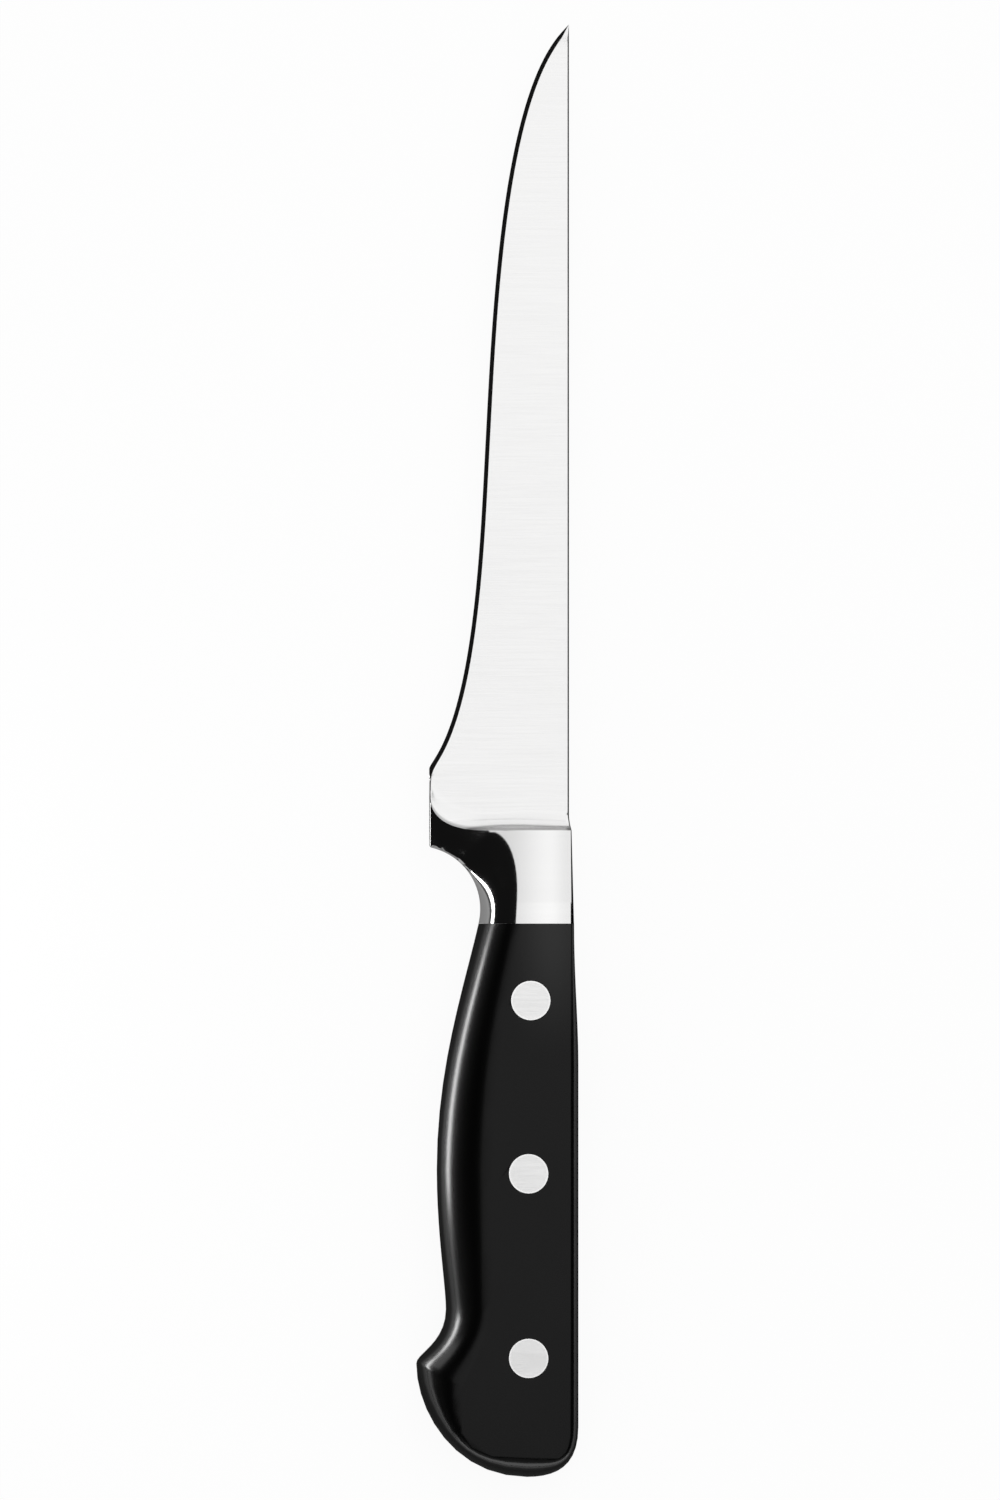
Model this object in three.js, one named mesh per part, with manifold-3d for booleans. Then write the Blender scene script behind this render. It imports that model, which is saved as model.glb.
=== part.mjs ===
// A forged boning knife, in millimetres: one forging for blade, bolster and full tang, two handle scales
// seated on the tang, and three two-piece rivets, each a tubular socket and the pin pressed into it.
//
// The knife lies on its side. While it is built, x runs across the blade, 0 on the spine line and negative
// towards the edge. y runs along it, 0 at the shoulder where the blade meets the bolster and positive
// towards the tip. z runs through its thickness, 0 in the middle. At the end it is set down on z = 0.
import * as THREE from "three";
import { mergeVertices } from "three/addons/utils/BufferGeometryUtils.js";
import Module from "manifold-3d";

const wasm = await Module();
wasm.setup();

// Blade seen from the side. A depth is measured from the spine line, a station from the shoulder.
const bladeLength = 150;
const heelDepth = 26;
const heelStation = 11.8; // corner where the edge begins
const waistStation = 72.5; // where the edge turns from hollow to round
const waistDrawIn = 10.5; // edge there, in from the depth of the heel
const heelAngle = 38.5; // edge against the spine line, in degrees, at the heel, the waist and the tip
const waistAngle = 3.1;
const tipAngle = 50.4;
const heelReach = 13.8; // how far the edge is drawn along each of those directions
const waistReachBack = 17.7;
const waistReachAhead = 21;
const tipReach = 16.7;

// Blade in section
const spineThickness = 2.8; // at the shoulder, tapering to that of the bevel at the tip
const bevelThickness = 0.6; // where the sharpened bevel meets the side
const edgeThickness = 0.12;
const bevelWidth = 0.8;
const spineChamfer = 0.25;
const tipChamferShare = 0.25; // most of the blade's depth that the chamfer and the bevel take near the tip
const tipBevelShare = 0.5;

// Bolster. Its raised side is bordered by a crest that starts on the end of the heel, runs down to the
// shoulder, and bends round to the joint with the scales. From the crest it rounds off to the finger hollow.
const bolsterLength = 17.3; // shoulder to the joint
const shoulderThickness = 6.6; // both sides together
const shoulderFillet = 3.3; // hollow between the blade and the shoulder
const hollowReachIn = 0.9; // how far the hollow's end is drawn in and down from the heel,
const hollowReachDown = 3.9;
const hollowReachOut = 5.2; // and out along the shoulder
const shoulderSpineRise = 0.5; // back of the bolster above the spine line
const shoulderSpineRounding = 0.25;
const heelCrestStation = 7; // start of the crest on the end of the heel
const heelCrestThickness = 1.4; // heel there
const heelCrestReach = 4.6; // how far the crest is drawn down the heel,
const shoulderReach = 7; // and out from the shoulder
const shoulderDepth = 15.6; // where the crest reaches the shoulder
const crestReachAcross = 3.1; // how far the crest is drawn along the shoulder from there,
const crestReachAlong = 14.5; // and up from the joint
const heelThickness = 1.1; // heel at its lower corner
const heelFall = 1.8; // power of the slope from the flat side down to the heel
const heelCorner = 0.6; // radius of that corner
const heelEasing = 0.5; // rounding of the heel's rim, running out at the joint and at the edge
const fingerDepth = 16.5; // spine line to the deepest point of the finger hollow
const fingerStation = 14.65; // shoulder to that point
const fingerRadius = 11.7;

// Handle seen from the side, measured from the spine line and from the joint or the butt
const handleLength = 103;
const handleThickness = 14;
const tangThickness = 3;
const tangRoot = 4; // how far the tang is carried into the bolster
const jointSpineRise = 0.95; // back of the handle above the spine line at the joint
const spineRise = 1.75; // the same further on
const spineCrestFromJoint = 26.2;
const bellyDepth = 24.6; // fullest point of the grip
const bellyFromJoint = 45.8;
const gripWaistDepth = 22.9; // narrowing before the beak
const gripWaistFromButt = 31.2;
const beakBelowHeel = 2.4; // beak, further from the spine line than the heel
const beakFromButt = 21.1;
const buttDepth = 7.8; // end of the handle
const backFromButt = 9.5; // where the back begins to round into the butt
const jointReach = 12.6; // how far the outline is drawn straight on at each of these points
const bellyReachUp = 19;
const bellyReachDown = 11.9;
const gripWaistReachUp = 4.3;
const gripWaistReachDown = 6.3;
const beakReachUp = 1.8;
const beakReachDown = 8.8;
const buttReachBelly = 13.6;
const buttReachBack = 5.3;
const backReach = 7.6;
const spineCrestReach = 8;
const jointSpineReach = 10;

// How far in from that outline the flat sides of the handle begin
const jointRounding = 8.3;
const bellyRounding = 10.5;
const gripWaistRounding = 8.4;
const beakRounding = 8.4;
const beakRoundingDown = 4.6;
const buttRounding = 3.6;
const spineRounding = 1.6;
const jointSpineRounding = 0.7;
const flatPower = 2.2; // how softly the border leaves the flat side: 2 is a quarter ellipse, 1 a crease
const outlinePower = 1.3; // how sharply it meets the outline
const crestPower = 1.6; // both, on the bolster near the shoulder
const backPower = 2; // both, along the back

// Rivets
const rivetHeadDiameter = 7.5;
const rivetHeadThickness = 2.5;
const rivetHeadChamfer = 0.1;
const rivetTubeDiameter = 5;
const rivetPinDiameter = 3.4;
const frontRivetFromJoint = 14.3;
const middleRivetFromJoint = 46.5;
const rearRivetFromButt = 22.2;
const frontRivetDepth = 7.1;
const middleRivetDepth = 7.5;
const rearRivetDepth = 7.5;

// Clearances
const seatGap = 0.05; // scales to tang and bolster
const rivetGap = 0.05; // heads and tubes in their holes, pins in their tubes
const rivetEndGap = 0.3; // end of a tube or pin to the head it points at

// Fineness
const edgeSteps = 16; // on each of the two curves of the edge
const filletSteps = 8;
const heelSteps = 3; // from the hollow of the shoulder up to the corner of the edge
const heelCornerSteps = 3;
const heelCrestSteps = 12; // along the crest to the shoulder, and from there to the joint
const faceCrestSteps = 18;
const faceSteps = 4; // across the flat side
const spineSteps = 4;
const roundingSteps = 10;
const railSteps = 10; // on each curve of the handle's outline
const buttCurve = 4; // which of those curves begins at the butt, and which at the back
const backCurve = 5;
const roundSegments = 36;
const mergeDistance = 1e-5; // corners closer than this are one

const jointY = -bolsterLength;
const buttY = jointY - handleLength;
const halfTang = tangThickness / 2;
const halfHandle = handleThickness / 2;

const { lerp, clamp, mapLinear, smoothstep, degToRad, radToDeg } = THREE.MathUtils;
const quarterTurn = Math.PI / 2;
const vec = (x, y) => new THREE.Vector2(x, y);

// A step of the given length, turned from straight ahead towards the edge by an angle in degrees.
const step = (length, angle = 0) => vec(0, length).rotateAround(vec(0, 0), degToRad(angle));

// A curve that leaves its start along one step and reaches its end from another.
function bezier(start, leave, arrive, end) {
  return new THREE.CubicBezierCurve(start, start.clone().add(leave), end.clone().add(arrive), end);
}

// The numbers 0 to 1 in even steps, both ends included.
const shares = (steps) => Array.from({ length: steps + 1 }, (_, i) => i / steps);

// Rounded border of a flat side: how far out and how high it is, both 0 to 1, from the outline inwards.
const borderRun = (turn, power = flatPower) => Math.cos(turn * quarterTurn) ** (2 / power);
const borderRise = (turn, power = outlinePower) => Math.sin(turn * quarterTurn) ** (2 / power);

// The finger hollow: its centre, where it meets the joint and the heel, and any point of it.
const fingerCentre = vec(-fingerDepth - fingerRadius, -fingerStation);
const jointAngle = Math.asin((jointY + fingerStation) / fingerRadius);
const heelAngleOnFinger = Math.acos(clamp((heelCorner - heelDepth - fingerCentre.x) / fingerRadius, 0, 1));
const onFinger = (angle) => vec(fingerRadius, 0).add(fingerCentre).rotateAround(fingerCentre, angle);
const angleOnFinger = ({ x, y }) => Math.atan2(y - fingerCentre.y, x - fingerCentre.x);
const jointDepth = -onFinger(jointAngle).x;
const faceDepth = jointDepth - jointRounding; // flat side at the joint

// Back of the bolster, and half thickness of its side, which falls away towards the heel.
const bolsterSpine = (y) => lerp(shoulderSpineRise, jointSpineRise, y / jointY);
function bolsterHalf({ x, y }) {
  const growth = Math.sin(clamp(y / jointY, 0, 1) * quarterTurn);
  const flat = lerp(shoulderThickness, handleThickness, growth) / 2;
  const towardsHeel = clamp((-x - faceDepth) / (heelDepth - faceDepth), 0, 1);
  return flat - ((shoulderThickness - heelCrestThickness) / 2) * towardsHeel ** heelFall;
}

// Half thickness of the ground blade between an edge and a spine. Below the heel the bevel runs out.
const heelBevel = bevelWidth / Math.cos(degToRad(heelAngle));
const bevelRunOut = bevelWidth / Math.sin(degToRad(heelAngle));
function bladeHalf({ x, y }, edge = -heelDepth, wholeBevel = heelBevel) {
  const spineHalf = lerp(spineThickness, bevelThickness, clamp(y / bladeLength, 0, 1)) / 2;
  const bevel = wholeBevel * clamp(1 - (heelStation - y) / bevelRunOut, 0, 1);
  const fromBevel = x - edge - bevel;
  const side = lerp(bevelThickness / 2, spineHalf, fromBevel / Math.max(-edge - bevel, bevelWidth));
  const sharpened = bevelThickness / 2 + ((bevelThickness - edgeThickness) / 2 / wholeBevel) * fromBevel;
  const chamfer = Math.max(0, x + Math.min(spineChamfer, -edge * tipChamferShare));
  return Math.max(Math.min(side, sharpened) - chamfer, edgeThickness / 2);
}

const raised = ({ x, y }, z) => new THREE.Vector3(x, y, z);
const sharesAfter = (steps) => shares(steps).slice(1);
const spread = (from, to, steps) => sharesAfter(steps).map((share) => from.clone().lerp(to, share));

// Upper half of the forging as rows of points from the edge to the spine, the joint first and the tip last.
// Every row has the points of the finger side's border, of the heel's crest, of the flat and of the back.
function forgingRows() {
  const joint = vec(-faceDepth, jointY);
  const shoulder = vec(-shoulderDepth, 0);
  const heel = vec(-heelDepth, heelCrestStation);
  const heelCrest = bezier(heel, step(-heelCrestReach), vec(-shoulderReach, 0), shoulder);
  const faceCrest = bezier(shoulder, vec(crestReachAcross, 0), step(crestReachAlong), joint);
  const heelCrestPoints = heelCrest.getPoints(heelCornerSteps + heelCrestSteps);
  const faceCrestPoints = faceCrest.getPoints(faceCrestSteps).slice(1);
  const crest = [...heelCrestPoints, ...faceCrestPoints];

  const cornerCentre = onFinger(heelAngleOnFinger).add(vec(0, heelCorner));
  const cornerStart = cornerCentre.clone().sub(vec(heelCorner, 0));
  const shoulderAngle = angleOnFinger(shoulder);
  const faceAngle = angleOnFinger(joint);
  const rim = [
    ...shares(heelCornerSteps).map((share) =>
      cornerStart.clone().rotateAround(cornerCentre, share * quarterTurn),
    ),
    ...sharesAfter(heelCrestSteps).map((share) => onFinger(lerp(heelAngleOnFinger, shoulderAngle, share))),
    ...faceCrestPoints.map((p) =>
      onFinger(mapLinear(angleOnFinger(p), shoulderAngle, faceAngle, shoulderAngle, jointAngle)),
    ),
  ];

  const bolster = crest.map((inner, i) => {
    const rimHalf = lerp(heelThickness, tangThickness, i / (crest.length - 1)) / 2;
    const towardsJoint = clamp((i - crest.length + 1) / faceCrestSteps + 1, 0, 1);
    const border = shares(roundingSteps).map((turn) => {
      const run = borderRun(turn, lerp(crestPower, flatPower, towardsJoint));
      const rise = borderRise(turn, lerp(crestPower, outlinePower, towardsJoint));
      return raised(inner.clone().lerp(rim[i], run), lerp(rimHalf, bolsterHalf(inner), rise));
    });
    return [...border, ...bolsterSide(heelCrestPoints.map((p, j) => (j > i ? p : inner)))];
  });
  return [...bolster.toReversed(), ...bladeRows(bolster[0])].map(eased);
}

// A row with its start lowered along a quarter circle, where it starts on the heel or the finger hollow.
function eased(row) {
  const rim = row[0];
  const fromJoint = (rim.y - jointY) / bolsterLength;
  const fromEdge = (heelStation - rim.y) / (heelStation - heelCrestStation);
  const radius = heelEasing * clamp(Math.min(fromJoint, fromEdge), 0, 1);
  return row.map((p) => {
    const inwards = Math.min(p.x + heelDepth, Math.hypot(p.x - rim.x, p.y - rim.y), radius);
    return raised(p, p.z - radius + Math.sqrt(radius ** 2 - (radius - inwards) ** 2));
  });
}

// A row across the bolster's side from the crest to the spine.
function bolsterSide(crest) {
  const inner = crest.at(-1);
  const along = inner.y / jointY;
  const spine = vec(bolsterSpine(inner.y), inner.y);
  const rounding = lerp(shoulderSpineRounding, jointSpineRounding, along);
  const back = spine.clone().sub(vec(rounding, 0));
  const flat = [...crest.slice(1), ...spread(inner, back, faceSteps)];
  const round = sharesAfter(spineSteps).map((share) => {
    const height = bolsterHalf(back) - rounding * (1 - borderRise(1 - share, backPower));
    return raised(back.clone().lerp(spine, borderRun(1 - share, backPower)), height);
  });
  return [...flat.map((p) => raised(p, bolsterHalf(p))), ...round];
}

// Rows of the blade, from the one that lies on the crest and the shoulder to the tip.
function bladeRows(shoulderRow) {
  const start = shoulderRow.map((p, i) => (i < roundingSteps ? shoulderRow[roundingSteps] : p).clone());
  const hollowHeel = vec(-heelDepth, heelStation - bevelRunOut);
  const hollowShoulder = vec(-shoulderDepth, shoulderFillet);
  const hollowIn = vec(hollowReachIn, -hollowReachDown);
  const hollowCurve = bezier(hollowHeel, hollowIn, vec(-hollowReachOut, 0), hollowShoulder);
  const besideCrest = hollowCurve.getPoints(heelCornerSteps + heelCrestSteps);
  const hollowEnd = start.map((p, i) => {
    const nearSpine = clamp(1 + p.x / faceDepth, 0, 1);
    const besideShoulder = vec(p.x - nearSpine * shoulderSpineRise, shoulderFillet);
    return besideCrest[Math.max(i - roundingSteps, 0)] ?? besideShoulder;
  });
  const hollow = shares(filletSteps).map((share) =>
    start.map((p, i) => {
      const point = hollowEnd[i].clone().lerp(p, (1 - share) ** 2);
      point.y = lerp(p.y, hollowEnd[i].y, share);
      return raised(point, lerp(bladeHalf(point), p.z, (1 - share) ** 2));
    }),
  );

  const waist = vec(waistDrawIn - heelDepth, waistStation);
  const heel = vec(-heelDepth, heelStation);
  const tip = vec(0, bladeLength);
  const edge = [
    bezier(heel, step(heelReach, -heelAngle), step(-waistReachBack, -waistAngle), waist),
    bezier(waist, step(waistReachAhead, -waistAngle), step(-tipReach, -tipAngle), tip),
  ];
  const ground = edge.flatMap((curve) =>
    shares(edgeSteps).map((share) =>
      groundRow(curve.getPoint(share), curve.getTangent(share), start.length),
    ),
  );
  const below = shares(heelSteps).slice(1, -1).map((share) =>
    hollowEnd.map((p, i) => {
      const point = p.clone().lerp(ground[0][i], share);
      return raised(point, bladeHalf(point));
    }),
  );
  return [...hollow, ...below, ...ground];
}

// A row straight across the ground blade from a point of the edge.
function groundRow(edge, direction, count) {
  const bevel = bevelWidth / direction.y;
  const chamfer = Math.min(spineChamfer, -edge.x * tipChamferShare);
  const bevelTop = vec(edge.x + Math.min(bevel, -edge.x * tipBevelShare), edge.y);
  const back = vec(-chamfer, edge.y);
  const across = [
    ...Array(roundingSteps + 1).fill(edge),
    bevelTop,
    ...spread(bevelTop, back, count - roundingSteps - spineSteps - 2),
    ...spread(back, vec(0, edge.y), spineSteps),
  ];
  return across.map((p) => raised(p, bladeHalf(p, edge.x, bevel)));
}

// Outline of a row: over the upper side from edge to spine, and back along the lower side.
const wholeRow = (upper) => [...upper, ...upper.map((p) => raised(p, -p.z)).reverse()];

// Outline of the handle, or a line inside it: inset 0 is the outline, 1 is where the flat side begins.
// It runs from the joint down the grip side, round the butt and up the back.
function handleRail(inset, startY) {
  const joint = vec(inset * jointRounding - jointDepth, startY);
  const belly = vec(inset * bellyRounding - bellyDepth, jointY - bellyFromJoint);
  const gripWaist = vec(inset * gripWaistRounding - gripWaistDepth, buttY + gripWaistFromButt);
  const beakDepth = heelDepth + beakBelowHeel;
  const beak = vec(inset * beakRounding - beakDepth, buttY + beakFromButt - inset * beakRoundingDown);
  const butt = vec(-buttDepth, buttY + inset * buttRounding);
  const back = vec(spineRise - inset * spineRounding, buttY + backFromButt);
  const crest = vec(spineRise - inset * spineRounding, jointY - spineCrestFromJoint);
  const jointSpine = vec(jointSpineRise - inset * jointSpineRounding, startY);
  const path = new THREE.CurvePath();
  path.add(bezier(joint, step(-jointReach, radToDeg(jointAngle)), step(bellyReachUp), belly));
  path.add(bezier(belly, step(-bellyReachDown), step(gripWaistReachUp), gripWaist));
  path.add(bezier(gripWaist, step(-gripWaistReachDown), step(beakReachUp), beak));
  path.add(bezier(beak, step(-beakReachDown), vec(-buttReachBelly, 0), butt));
  path.add(bezier(butt, vec(buttReachBack, 0), step(-backReach), back));
  path.add(new THREE.LineCurve(back, crest));
  path.add(bezier(crest, step(spineCrestReach), step(-jointSpineReach), jointSpine));
  return path.curves.flatMap((curve, i) => curve.getPoints(railSteps).slice(i === 0 ? 0 : 1));
}

// Closed skin through rings of equally many points. flatten turns a ring into the plane seen from its end.
function loft(rings, flatten) {
  const count = rings[0].length;
  const index = [];
  rings.slice(1).forEach((_, r) => {
    for (let i = 0; i < count; i++) {
      const a = r * count + i;
      const b = r * count + ((i + 1) % count);
      index.push(a, b, a + count, b, b + count, a + count);
    }
  });
  const last = (rings.length - 1) * count;
  for (const face of THREE.ShapeUtils.triangulateShape(rings[0].map(flatten), [])) {
    index.push(...face.reverse());
  }
  for (const face of THREE.ShapeUtils.triangulateShape(rings.at(-1).map(flatten), [])) {
    index.push(...face.map((i) => i + last));
  }
  const geometry = new THREE.BufferGeometry().setFromPoints(rings.flat());
  geometry.setIndex(index);
  return geometry;
}

// Solid enclosed by a geometry, with its shared corners joined and its empty triangles left out.
function solid(geometry) {
  geometry.deleteAttribute("normal");
  geometry.deleteAttribute("uv");
  const merged = mergeVertices(geometry, mergeDistance);
  const corners = merged.index.array;
  const triVerts = [];
  for (let i = 0; i < corners.length; i += 3) {
    const [a, b, c] = corners.slice(i, i + 3);
    if (a !== b && b !== c && c !== a) triVerts.push(a, b, c);
  }
  const mesh = new wasm.Mesh({
    numProp: 3,
    vertProperties: merged.attributes.position.array,
    triVerts: Uint32Array.from(triVerts),
  });
  return new wasm.Manifold(mesh);
}

// Turned shape of a profile of radius and height, its axis through the thickness of the knife.
function turned(profile) {
  const points = profile.map(([radius, z]) => vec(radius, z));
  return new THREE.LatheGeometry(points, roundSegments).rotateX(quarterTurn);
}

// Round bar from one height to another, for drilling at a rivet's place.
function drill(diameter, low, high, place) {
  const radius = diameter / 2;
  const bar = turned([[0, low], [radius, low], [radius, high], [0, high]]);
  return solid(bar.translate(place.x, place.y, 0));
}

const rivets = [
  { name: "front", place: vec(-frontRivetDepth, jointY - frontRivetFromJoint) },
  { name: "middle", place: vec(-middleRivetDepth, jointY - middleRivetFromJoint) },
  { name: "rear", place: vec(-rearRivetDepth, buttY + rearRivetFromButt) },
];
const headInner = halfHandle - rivetHeadThickness; // height of a head's inner face
const tubeHole = rivetTubeDiameter + 2 * rivetGap;
const headHole = rivetHeadDiameter + 2 * rivetGap;

// The forging, its full tang drilled for the rivets.
function forging() {
  const bladeAndBolster = solid(loft(forgingRows().map(wholeRow), (p) => vec(p.z, p.x)));
  const flat = handleRail(1, jointY);
  const root = [flat.at(-1), flat[0]].map((p) => p.clone().add(vec(0, tangRoot)));
  const outline = new THREE.Shape([...handleRail(0, jointY), flat.at(-1), ...root, flat[0]]);
  const tang = new THREE.ExtrudeGeometry(outline, { depth: tangThickness, bevelEnabled: false });
  const whole = bladeAndBolster.add(solid(tang.translate(0, 0, -halfTang)));
  return rivets.reduce(
    (body, { place }) => body.subtract(drill(tubeHole, -halfHandle, halfHandle, place)),
    whole,
  );
}

// The upper scale, its flat underside on the tang, bored for the rivets' tubes and heads. Round the belly
// its border runs down to the tang. From the butt on a wall grows under it, which is the back of the scale.
function scale() {
  const low = halfTang + seatGap;
  const outline = handleRail(0, jointY - seatGap);
  const flat = handleRail(1, jointY - seatGap);
  const rings = shares(roundingSteps).map((turn) =>
    outline.map((p, i) => {
      const towardsBack = smoothstep(i, buttCurve * railSteps, backCurve * railSteps);
      const wall = lerp(low, halfHandle - p.distanceTo(flat[i]), towardsBack);
      const run = borderRun(turn, lerp(flatPower, backPower, towardsBack));
      const rise = borderRise(turn, lerp(outlinePower, backPower, towardsBack));
      return raised(flat[i].clone().lerp(p, run), lerp(wall, halfHandle, rise));
    }),
  );
  rings.unshift(outline.map((p) => raised(p, low)));
  return rivets.reduce((body, { place }) => {
    const bored = body.subtract(drill(tubeHole, 0, handleThickness, place));
    return bored.subtract(drill(headHole, headInner - rivetGap, handleThickness, place));
  }, solid(loft(rings, (p) => vec(p.x, p.y))));
}

// A rivet's socket: a head flush with the upper scale and a tube through the tang.
function socket() {
  const boreRadius = rivetPinDiameter / 2 + rivetGap;
  const tubeRadius = rivetTubeDiameter / 2;
  const tubeEnd = rivetEndGap - headInner;
  const headRadius = rivetHeadDiameter / 2;
  return turned([
    [0, headInner],
    [boreRadius, headInner],
    [boreRadius, tubeEnd],
    [tubeRadius, tubeEnd],
    [tubeRadius, headInner],
    [headRadius, headInner],
    [headRadius, halfHandle - rivetHeadChamfer],
    [headRadius - rivetHeadChamfer, halfHandle],
    [0, halfHandle],
  ]);
}

// A rivet's pin: a head flush with the lower scale and a shaft up into the socket.
function pin() {
  const shaftRadius = rivetPinDiameter / 2;
  const shaftEnd = headInner - rivetEndGap;
  const headRadius = rivetHeadDiameter / 2;
  return turned([
    [0, -halfHandle],
    [headRadius - rivetHeadChamfer, -halfHandle],
    [headRadius, rivetHeadChamfer - halfHandle],
    [headRadius, -headInner],
    [shaftRadius, -headInner],
    [shaftRadius, shaftEnd],
    [0, shaftEnd],
  ]);
}

// Geometry of a solid.
function skin(body) {
  const { vertProperties, triVerts } = body.getMesh();
  const geometry = new THREE.BufferGeometry();
  geometry.setAttribute("position", new THREE.BufferAttribute(vertProperties, 3));
  geometry.setIndex(new THREE.BufferAttribute(triVerts, 1));
  geometry.computeVertexNormals();
  return geometry;
}

// The same shape on the other side of the knife.
function mirrored(geometry) {
  const other = geometry.clone().scale(1, 1, -1);
  other.index.array.reverse();
  other.computeVertexNormals();
  return other;
}

function piece(name, geometry, material) {
  const mesh = new THREE.Mesh(geometry, new THREE.MeshStandardMaterial(material));
  mesh.name = name;
  return mesh;
}

const steel = { color: 0xc9ccce, roughness: 0.3, metalness: 1 };
const rivetSteel = { color: 0xd4d5d4, roughness: 0.35, metalness: 1 };
const blackPlastic = { color: 0x1a1a1b, roughness: 0.4, metalness: 0 };

const knife = new THREE.Group();
knife.name = "boning_knife";
const upperScale = skin(scale());
knife.add(piece("forged_blade", skin(forging()), steel));
knife.add(piece("upper_scale", upperScale, blackPlastic));
knife.add(piece("lower_scale", mirrored(upperScale), blackPlastic));
for (const { name, place } of rivets) {
  for (const [half, geometry] of [["socket", socket()], ["pin", pin()]]) {
    const mesh = piece(`${name}_rivet_${half}`, geometry, rivetSteel);
    mesh.position.set(place.x, place.y, 0);
    knife.add(mesh);
  }
}

// The knife is set down with its lowest point at z = 0 and the middle of its outline over the origin.
const extent = new THREE.Box3().setFromObject(knife);
const centre = extent.getCenter(new THREE.Vector3());
knife.position.set(-centre.x, -centre.y, -extent.min.z);

export default knife;
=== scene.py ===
import math

import bmesh
import bpy
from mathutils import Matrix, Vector


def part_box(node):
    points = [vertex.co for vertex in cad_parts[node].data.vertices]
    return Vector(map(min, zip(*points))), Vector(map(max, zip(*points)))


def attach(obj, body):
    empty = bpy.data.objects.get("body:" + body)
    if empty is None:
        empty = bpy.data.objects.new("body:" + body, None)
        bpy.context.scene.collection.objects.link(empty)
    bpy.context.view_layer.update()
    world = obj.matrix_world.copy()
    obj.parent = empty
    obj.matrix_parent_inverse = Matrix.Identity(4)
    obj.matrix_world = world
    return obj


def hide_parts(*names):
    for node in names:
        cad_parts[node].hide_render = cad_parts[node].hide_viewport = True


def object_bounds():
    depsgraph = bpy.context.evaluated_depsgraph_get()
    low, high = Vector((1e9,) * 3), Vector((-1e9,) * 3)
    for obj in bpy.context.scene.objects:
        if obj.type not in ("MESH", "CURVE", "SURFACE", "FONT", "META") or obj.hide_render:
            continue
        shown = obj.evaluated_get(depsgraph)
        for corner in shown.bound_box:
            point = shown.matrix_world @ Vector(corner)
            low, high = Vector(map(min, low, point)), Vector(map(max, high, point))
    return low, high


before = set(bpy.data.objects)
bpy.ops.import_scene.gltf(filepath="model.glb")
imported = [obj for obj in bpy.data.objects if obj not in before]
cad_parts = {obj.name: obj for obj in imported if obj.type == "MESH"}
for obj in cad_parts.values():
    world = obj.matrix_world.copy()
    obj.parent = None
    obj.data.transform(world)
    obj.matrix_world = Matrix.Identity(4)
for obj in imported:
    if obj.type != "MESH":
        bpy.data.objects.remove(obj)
cad_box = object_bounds()

MM = 0.001
WELD = 0.002 * MM

# Sizes of the solids
BLADE_LENGTH = 150 * MM
HEEL_DEPTH = 26 * MM
BOLSTER_LENGTH = 17.35 * MM  # shoulder to the scales
BACK_RISE = 1.75 * MM  # back of the handle above the spine line
CREST_DEPTH = 15.6 * MM  # spine line to where the bolster's crest leaves the shoulder
CREST_CLIMB = 7 * MM  # shoulder to where the crest ends on the heel
RIVET_RADIUS = 3.75 * MM

# Places along and across the knife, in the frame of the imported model
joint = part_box("upper_scale")[1].y
shoulder = joint + BOLSTER_LENGTH
tip = shoulder + BLADE_LENGTH
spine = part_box("forged_blade")[1].x - BACK_RISE
heel_end = spine - HEEL_DEPTH
mid_height = (cad_box[0].z + cad_box[1].z) / 2


class Wire:
    """One socket of a finish. Arithmetic on it adds Math nodes."""

    def __init__(self, recipe, socket):
        self.recipe = recipe
        self.socket = socket

    def sibling(self, name):
        return Wire(self.recipe, self.socket.node.outputs[name])

    def __add__(self, other):
        return self.recipe.sum("ADD", self, other)

    def __sub__(self, other):
        return self.recipe.sum("SUBTRACT", self, other)

    def __rsub__(self, other):
        return self.recipe.sum("SUBTRACT", other, self)

    def __mul__(self, other):
        return self.recipe.sum("MULTIPLY", self, other)

    def __pow__(self, other):
        return self.recipe.sum("POWER", self, other)

    def __abs__(self):
        return self.recipe.sum("ABSOLUTE", self)

    __radd__ = __add__
    __rmul__ = __mul__


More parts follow.
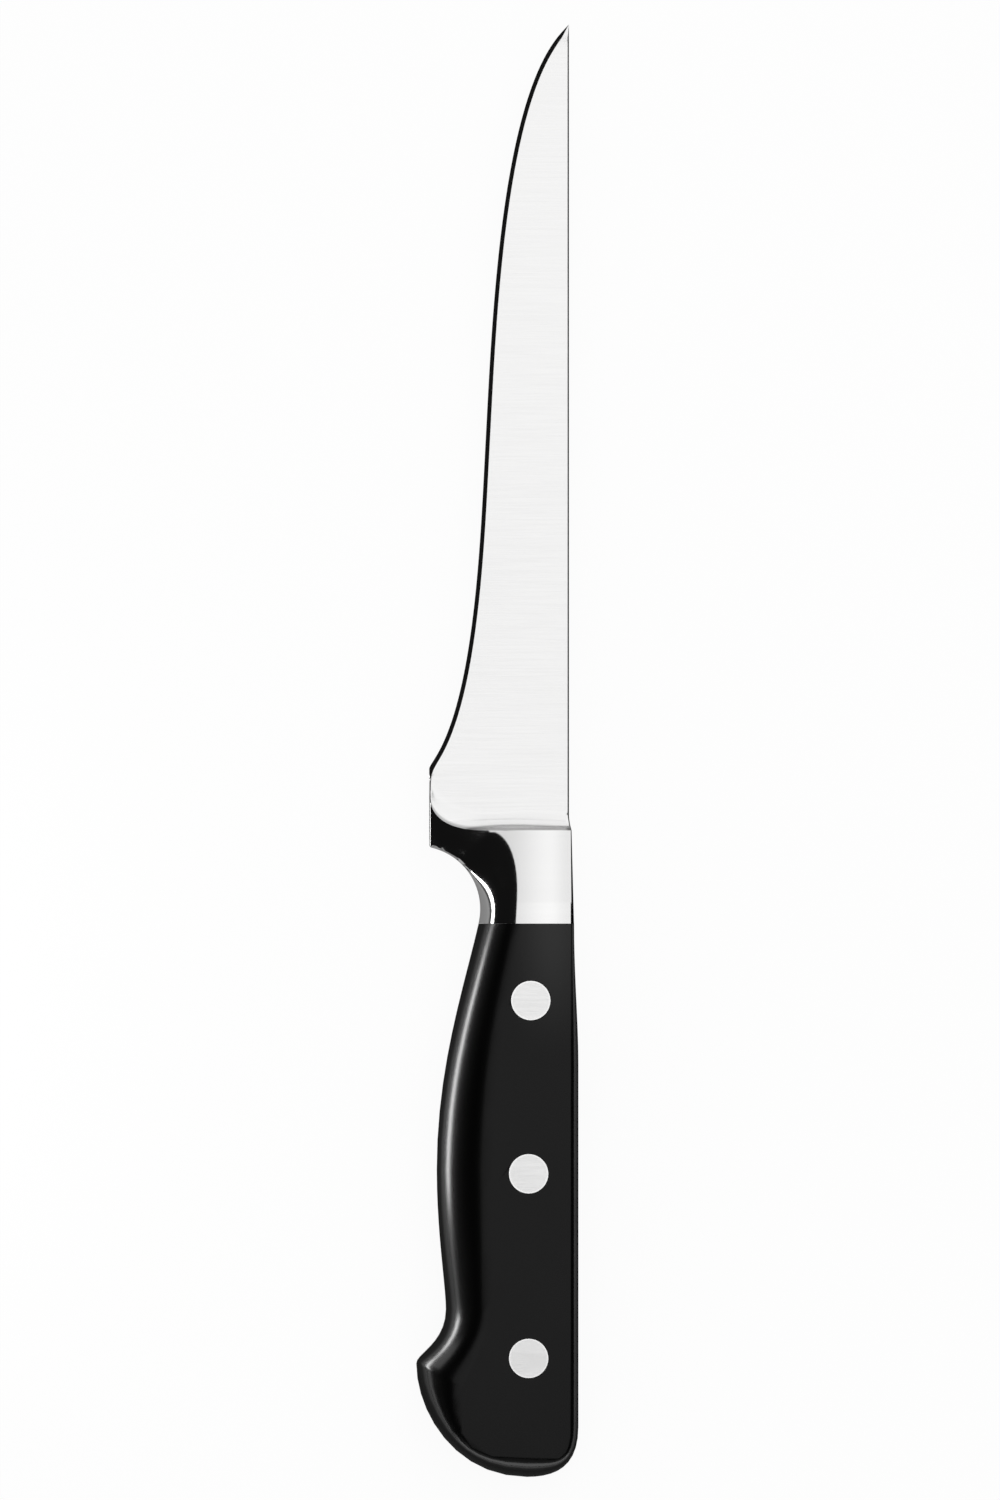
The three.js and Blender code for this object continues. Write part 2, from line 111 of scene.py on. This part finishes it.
class Recipe:
    """The nodes of one finish, of the floor or of the world."""

    def __init__(self, owner):
        owner.use_nodes = True
        self.owner = owner
        self.tree = owner.node_tree
        self.tree.nodes.clear()

    def add(self, kind, settings=None, sockets=None):
        node = self.tree.nodes.new("ShaderNode" + kind)
        for name, value in (settings or {}).items():
            setattr(node, name, value)
        for name, value in (sockets or {}).items():
            if isinstance(value, Wire):
                self.tree.links.new(value.socket, node.inputs[name])
            else:
                node.inputs[name].default_value = value
        return Wire(self, node.outputs[0]) if node.outputs else node

    def sum(self, operation, *values):
        return self.add("Math", {"operation": operation}, dict(enumerate(values)))

    def place(self):
        return self.add("TexCoord").sibling("Object")

    def axes(self, vector):
        x = self.add("SeparateXYZ", sockets={"Vector": vector})
        return x, x.sibling("Y"), x.sibling("Z")

    def fade(self, value, low, high, curve="SMOOTHSTEP"):
        """0 at low, 1 at high, held beyond them."""
        return self.add(
            "MapRange",
            {"interpolation_type": curve},
            {"Value": value, "From Min": low, "From Max": high},
        )

    def grain(self, vector, across, detail=3.0):
        """Noise with so many grains to the metre along each axis."""
        stretched = self.add("Mapping", sockets={"Vector": vector, "Scale": across})
        return self.add("TexNoise", sockets={"Vector": stretched, "Scale": 1.0, "Detail": detail})

    def tint(self, share, first, second):
        mix = self.add("Mix", {"data_type": "RGBA"}, {0: share, 6: first, 7: second})
        return Wire(self, mix.socket.node.outputs[2])

    def bump(self, height, depth):
        return self.add("Bump", sockets={"Height": height, "Distance": depth, "Strength": 1.0})

    def shell(self, **sockets):
        """The surface itself, written as the Principled shader's sockets."""
        named = {name.replace("_", " "): value for name, value in sockets.items()}
        surface = self.add("BsdfPrincipled", sockets=named)
        self.add("OutputMaterial", sockets={"Surface": surface})
        return self.owner


def grey(level, warmth=0.0):
    return (level + warmth, level, level - warmth, 1.0)


def forged_steel():
    """Ground across on the blade, polished on the bolster and the bevel, with a painted dark reflection
    along its rounded back.
    """
    steel = Recipe(bpy.data.materials.new("forged_steel"))
    place = steel.place()
    x, y, _ = steel.axes(place)
    to_spine, _, up = steel.axes(steel.add("NewGeometry").sibling("Normal"))
    tilt = abs(up)

    # The crest runs level along the shoulder, then climbs ever more steeply to the end of the heel.
    level_power, steep_power = 2.5, 0.44
    towards_heel = steel.fade(x, spine - CREST_DEPTH, heel_end, curve="LINEAR")
    crest = shoulder + CREST_CLIMB * (1 - (1 - towards_heel ** level_power) ** steep_power)
    bolster = steel.fade(crest - y, -0.3 * MM, 0.1 * MM)
    bevel = steel.fade(tilt, 0.985, 0.965) * steel.fade(y, shoulder + 5 * MM, shoulder + 7 * MM)
    polished = steel.sum("MAXIMUM", bolster, bevel)

    fine = steel.grain(place, (90, 5200, 90))
    streaks = steel.grain(place, (25, 900, 25), detail=2.0)
    smudges = steel.grain(place, (140, 140, 140), detail=4.0)
    satin = 0.12 + 0.10 * fine + 0.04 * streaks
    mirror = 0.05 + 0.05 * smudges

    # Painted light and shade in the base colour: paler towards the spine on the bolster's flat side,
    # painted shade in the hollow beside the crest, and a painted dark reflection along the rounded back
    palest = spine - 3.5 * MM
    across = steel.fade(x, spine - 12 * MM, palest) - 0.5 * steel.fade(x, palest, spine)
    corner = steel.fade(y - crest, 0.9 * MM, 0.0)
    rounded_back = steel.fade(to_spine, 0.2, 0.4) * steel.fade(tilt, 0.05, 0.25)
    rounded_back *= steel.fade(y, tip - 4 * MM, tip - 34 * MM)
    # Painted shade: these masks darken the base colour towards black
    painted_shade = 0.24 * bolster * (1 - across) + 0.6 * corner * (1 - bolster) + 0.9 * rounded_back
    clean = steel.tint(streaks, grey(0.80, 0.002), grey(0.83, 0.002))
    return steel.shell(
        Base_Color=steel.tint(painted_shade, clean, grey(0.0)),
        Metallic=1.0,
        Roughness=satin + (mirror - satin) * polished,
        Normal=steel.bump(fine * (1 - polished), 0.003 * MM),
    )


def black_grip():
    """Moulded plastic with a fine skin, burnished where it rounds over and duller on the upright sides."""
    plastic = Recipe(bpy.data.materials.new("black_grip"))
    place = plastic.place()
    skin = plastic.grain(place, (3000, 3000, 3000), detail=2.0)
    handling = plastic.grain(place, (90, 45, 90), detail=4.0)
    x, y, _ = plastic.axes(place)
    tilt = abs(plastic.axes(plastic.add("NewGeometry").sibling("Normal"))[2])
    upright = plastic.fade(tilt, 0.66, 0.45)
    rounded = plastic.fade(tilt, 0.97, 0.88) * plastic.fade(tilt, 0.58, 0.72)

    # A painted highlight: paler base colour on the flat side, in front of the first rivet
    front = plastic.fade(abs(x - spine + 3 * MM), 9 * MM, 0.0) * plastic.fade(y, joint - 26 * MM, joint)
    front *= plastic.fade(tilt, 0.90, 0.98)
    black = plastic.tint(handling, grey(0.0003), grey(0.0012))
    return plastic.shell(
        Base_Color=plastic.tint(front, black, grey(0.018)),
        Roughness=0.19 + 0.06 * handling + 0.45 * upright,
        Specular_IOR_Level=0.19,
        Coat_Weight=rounded,
        Coat_Roughness=0.21,
        Coat_IOR=2.0,
        Normal=plastic.bump(skin, 0.0012 * MM),
    )


def brushed_rivet(name, centre):
    """Finely brushed across, smoother towards the rim, where it is also painted a little brighter as a
    highlight.
    """
    rivet = Recipe(bpy.data.materials.new(name))
    place = rivet.place()
    x, y, _ = rivet.axes(rivet.add("VectorMath", {"operation": "SUBTRACT"}, {0: place, 1: centre}))
    brushed = rivet.grain(place, (260, 7000, 260))
    broad = rivet.grain(place, (120, 900, 120), detail=2.0)
    # Smoother at the rim, plus a painted highlight in the base colour there
    polished_rim_and_highlight = rivet.fade((x * x + y * y) ** 0.5, RIVET_RADIUS - 0.55 * MM, RIVET_RADIUS)
    satin = 0.20 + 0.10 * brushed
    return rivet.shell(
        Base_Color=rivet.tint(broad * (1 - polished_rim_and_highlight) + polished_rim_and_highlight, grey(0.82, 0.002), grey(0.91, 0.002)),
        Metallic=1.0,
        Roughness=satin + (0.18 - satin) * polished_rim_and_highlight,
        Normal=rivet.bump(brushed, 0.002 * MM),
    )


def skin_of(node):
    """The node's loose triangles joined into one skin."""
    shape = bmesh.new()
    shape.from_mesh(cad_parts[node].data)
    bmesh.ops.remove_doubles(shape, verts=shape.verts, dist=WELD)
    return shape


def bends(angle):
    return lambda edge: edge.calc_face_angle(0.0) > math.radians(angle)


def ease(shape, edges, width):
    bmesh.ops.bevel(
        shape,
        geom=edges,
        offset=width,
        offset_type="OFFSET",
        affect="EDGES",
        segments=3,
        profile=0.5,
        material=-1,
        clamp_overlap=True,
    )


def piece(shape, name, node, finish, sharp):
    """Hand the finished skin over in place of its node. sharp tells which edges stay crisp."""
    for face in shape.faces:
        face.smooth = True
    for edge in shape.edges:
        edge.smooth = not sharp(edge)
    mesh = bpy.data.meshes.new(name)
    shape.to_mesh(mesh)
    shape.free()
    mesh.materials.append(finish)
    obj = bpy.data.objects.new(name, mesh)
    bpy.context.scene.collection.objects.link(obj)
    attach(obj, "root")
    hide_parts(node)
    return obj


def blade_and_bolster():
    """The forging, rounded between the lines that stay crisp."""
    shape = skin_of("forged_blade")

    def crisp(edge):
        # Past the heel, only the lines that run along the blade: the bevel, the edge and the spine.
        if min(v.co.y for v in edge.verts) > shoulder + 10 * MM:
            run = edge.verts[1].co - edge.verts[0].co
            return bends(5)(edge) and abs(run.y) > 0.3 * run.length
        on_rim = max(abs(v.co.z - mid_height) for v in edge.verts) < 0.8 * MM
        on_back = min(v.co.x for v in edge.verts) > spine - 0.3 * MM
        return bends(75 if on_rim else 45 if on_back else 20)(edge)

    crease = shape.edges.layers.float.new("crease_edge")
    for edge in filter(crisp, shape.edges):
        edge.smooth = False
        edge[crease] = 1.0
    bmesh.ops.join_triangles(
        shape,
        faces=shape.faces,
        cmp_sharp=True,
        angle_face_threshold=math.radians(25),
        angle_shape_threshold=math.radians(140),
    )
    blade = piece(shape, "blade_and_bolster", "forged_blade", forged_steel(), crisp)
    rounds = blade.modifiers.new("rounds", "SUBSURF")
    rounds.levels = rounds.render_levels = 2
    return blade


def grip_scale(side, finish):
    """One scale, the rims of its rivet holes eased."""
    shape = skin_of(side + "_scale")
    face = cad_box[1].z if side == "upper" else cad_box[0].z
    holes = [
        e
        for e in filter(bends(60), shape.edges)
        if all(abs(v.co.z - face) < WELD for v in e.verts)
    ]
    ease(shape, holes, 0.3 * MM)
    grip = piece(shape, side + "_grip", side + "_scale", finish, bends(30))
    flat = grip.modifiers.new("flat sides", "WEIGHTED_NORMAL")
    flat.keep_sharp = True
    flat.weight = 100
    return grip


def rivet(place):
    """Both halves of one rivet."""
    low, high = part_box(place + "_rivet_socket")
    finish = brushed_rivet(place + "_rivet", (low + high) / 2)
    for half in ("socket", "pin"):
        node = f"{place}_rivet_{half}"
        piece(skin_of(node), node + "_turned", node, finish, bends(26))


def panel(name, place, aim, width, height, brightness):
    """A soft studio panel, its brightness that of a white surface at 1."""
    light = bpy.data.lights.new(name, "AREA")
    light.shape = "RECTANGLE"
    light.size = width
    light.size_y = height
    light.energy = brightness * math.pi * width * height
    lamp = bpy.data.objects.new(name, light)
    lamp.location = place
    lamp.rotation_euler = (Vector(aim) - Vector(place)).to_track_quat("-Z", "Y").to_euler()
    lamp.visible_camera = False
    bpy.context.scene.collection.objects.link(lamp)


def strip(name, azimuth, elevation, width, height, brightness, distance=1.5):
    """A panel standing on the edge side, azimuth counted towards the tip, both angles in degrees."""
    a, e = math.radians(azimuth), math.radians(elevation)
    place = Vector((-math.cos(a) * math.cos(e), math.sin(a) * math.cos(e), math.sin(e))) * distance
    panel(name, place, (0, 0, 0), width, height, brightness)


def studio_lights():
    """Soft panels all round. The gaps between them are the dark bands in the steel."""
    panel("overhead", (-0.025, 0.05, 1.9), (-0.025, 0.05, 0), 0.95, 0.70, 1.15)
    panel("overhead_far", (0.35, 1.40, 1.9), (0.35, 1.40, 0), 1.70, 2.00, 1.1)
    panel("behind", (0.6, 2.4, 1.0), (0, 0, 0), 2.6, 1.6, 1.05)
    panel("behind_low", (0.6, 2.4, 0.1), (0, 0, 0), 2.6, 0.2, 0.3)
    panel("behind_spine_side", (1.6, 1.3, 1.0), (0, 0, 0), 1.4, 1.2, 0.12)
    panel("front", (0, -2.2, 0.8), (0, 0, 0), 6.0, 1.3, 0.6)
    panel("front_high", (0, -1.25, 1.9), (0, 0, 0), 2.4, 1.0, 0.4)
    panel("behind_edge_side", (-1.6, 1.6, 1.25), (0, 0, 0), 1.6, 1.0, 0.5)
    panel("spine_side", (1.5, 0, 0.50), (0, 0, 0), 3.0, 0.60, 0.35)
    # A small strip that draws the highlight along the belly of the handle
    panel("beside_handle", (-0.150, -0.047, 0.0380), (-0.009, -0.047, 0.013), 0.088, 0.018, 7)
    strip("edge_side", 9, 8, 0.69, 0.20, 0.8)
    strip("edge_side_tip", 41, 8, 1.03, 0.20, 1.0)
    strip("edge_side_butt", -20, 8, 0.86, 0.20, 0.6)


def seen_white(recipe, glossy):
    """How far a surface shows as plain white: fully to the camera, partly in reflections."""
    path = recipe.add("LightPath")
    reflected = path.sibling("Is Glossy Ray") + path.sibling("Is Transmission Ray")
    return path.sibling("Is Camera Ray") + glossy * reflected


def studio_floor():
    """White to the camera apart from the knife's soft shadow, greyer in the steel."""
    floor = Recipe(bpy.data.materials.new("pale_floor"))
    path = floor.add("LightPath")
    shade = floor.tint(path.sibling("Is Glossy Ray"), grey(0.8), grey(0.3))
    surface = floor.add("BsdfDiffuse", sockets={"Color": shade})
    white = floor.add("Emission", sockets={"Color": grey(1.0), "Strength": 1.0})
    share = 0.93 * seen_white(floor, 0.1)
    mixed = floor.add("MixShader", sockets={0: share, 1: surface, 2: white})
    floor.add("OutputMaterial", sockets={"Surface": mixed})

    shape = bmesh.new()
    bmesh.ops.create_grid(shape, x_segments=1, y_segments=1, size=6)
    mesh = bpy.data.meshes.new("floor")
    shape.to_mesh(mesh)
    shape.free()
    mesh.materials.append(floor.owner)
    obj = bpy.data.objects.new("floor", mesh)
    bpy.context.scene.collection.objects.link(obj)


def studio_world():
    bpy.context.scene.world = bpy.data.worlds.new("studio")
    world = Recipe(bpy.context.scene.world)
    path = world.add("LightPath")
    strength = seen_white(world, 0.008) + 0.6 * path.sibling("Is Diffuse Ray")
    light = world.add("Background", sockets={"Color": grey(1.0), "Strength": strength})
    world.add("OutputWorld", sockets={"Surface": light})


def camera():
    """Straight down from far away, the blade pointing up the picture."""
    view = bpy.data.cameras.new("camera")
    view.sensor_width = 36
    height = 4.0
    frame_height = 279.2 * MM
    view.lens = view.sensor_width * (height - mid_height) / frame_height
    obj = bpy.data.objects.new("camera", view)
    obj.location = (0.5 * MM, 0.1 * MM, height)
    bpy.context.scene.collection.objects.link(obj)
    bpy.context.scene.camera = obj


blade_and_bolster()
plastic = black_grip()
for side in ("upper", "lower"):
    grip_scale(side, plastic)
for place in ("front", "middle", "rear"):
    rivet(place)

studio_floor()
studio_world()
studio_lights()
camera()
bpy.context.scene.view_settings.view_transform = "Standard"
